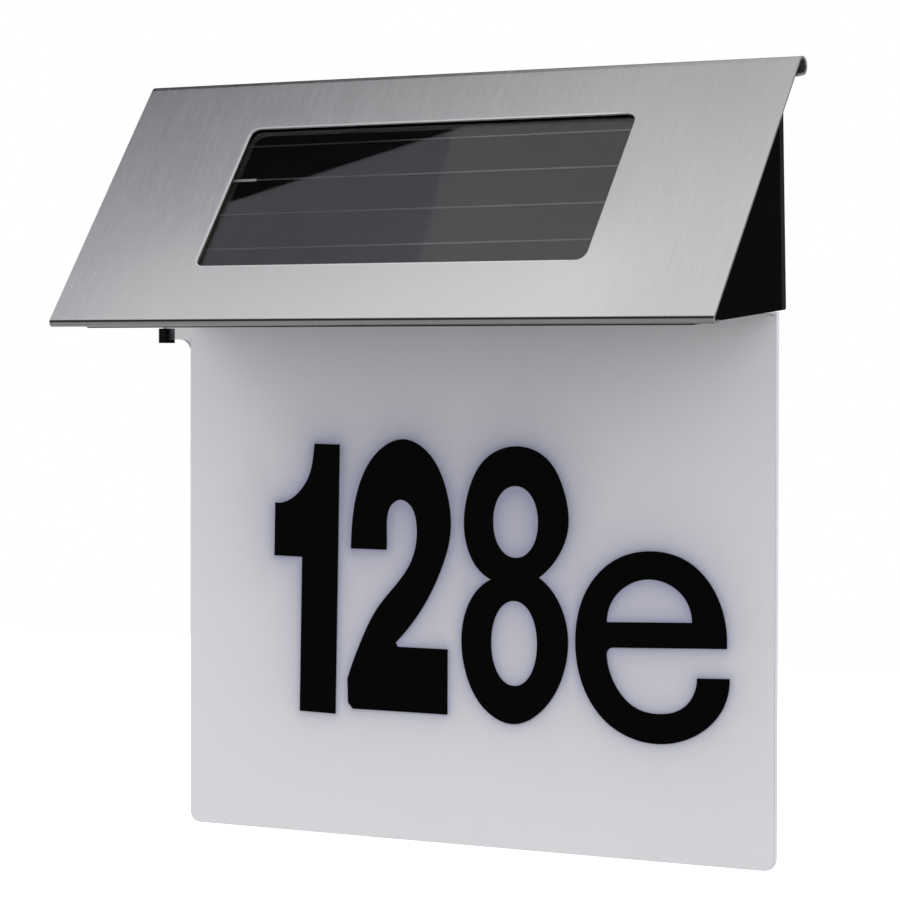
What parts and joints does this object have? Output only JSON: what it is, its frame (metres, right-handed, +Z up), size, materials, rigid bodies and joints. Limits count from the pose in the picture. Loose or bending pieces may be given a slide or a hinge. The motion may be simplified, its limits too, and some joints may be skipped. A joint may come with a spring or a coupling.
{
  "type": "illuminated house number sign",
  "caption": "Solar house number sign for a wall: folded steel roof with a solar panel over a black lamp housing, and a clear plate with white film and black characters below.",
  "frame": {"origin": "on the wall plane, midway between the two hanging screws", "axes": "+X to the right as seen from the front, +Y into the wall, +Z up"},
  "size_m": [0.2005, 0.0567, 0.2053],
  "materials": {
    "roof_steel": "brushed up and down the slope",
    "foam": "matt",
    "solar_cover": "clear, glossy",
    "solar_cell": "dark, glossy",
    "solar_ribbon": "tinned",
    "backboard": "matt laminate",
    "housing": "fine texture",
    "housing_back": "fine texture",
    "screw_steel": "plain",
    "battery": "glossy sleeve",
    "contact_metal": "nickel plated",
    "switch_case": "matt",
    "switch_knob": "satin",
    "board": "solder mask",
    "led": "phosphor under clear",
    "chip": "matt",
    "coil": "enamelled wire",
    "capacitor": "plain",
    "light_guide": "clear, polished",
    "clear_sheet": "clear, polished",
    "white_film": "satin",
    "black_vinyl": "matt",
    "buffer_rubber": "matt",
    "lead_red": "satin",
    "lead_black": "satin"
  },
  "bodies": {
    "sign": {"roof_plate": "roof_steel", "foam_tape": "foam", "solar_gasket": "foam", "solar_cover": "solar_cover", "solar_cells": "solar_cell", "solar_ribbons": "solar_ribbon", "solar_backboard": "backboard", "housing_shell": "housing", "back_cover": "housing_back", "cover_screws": "screw_steel", "battery_cell": "battery", "plus_contact": "contact_metal", "spring_contact": "contact_metal", "switch_body": "switch_case", "led_board": "board", "leds": "led", "driver_chip": "chip", "coil": "coil", "capacitor": "capacitor", "board_screws": "screw_steel", "light_bar": "light_guide", "number_plate": "clear_sheet", "plate_film": "white_film", "plate_screws": "screw_steel", "end_buffer": "buffer_rubber", "digit_1": "black_vinyl", "digit_2": "black_vinyl", "digit_8": "black_vinyl", "letter_e": "black_vinyl", "lead_solar_plus": "lead_red", "lead_solar_minus": "lead_black", "lead_battery_plus": "lead_red", "lead_battery_minus": "lead_black", "lead_switch_in": "lead_red", "lead_switch_out": "lead_black"},
    "battery_door": {"battery_door": "housing_back"},
    "switch_knob": {"switch_knob": "switch_knob"}
  },
  "joints": [
    {"name": "battery_door_slide", "type": "slide", "parent": "sign", "child": "battery_door", "axis": [0, -0.0419, 0.9991], "range_m": [0, 0.03]},
    {"name": "switch_slide", "type": "slide", "parent": "sign", "child": "switch_knob", "axis": [1, 0, 0], "range_m": [0, 0.003]}
  ]
}
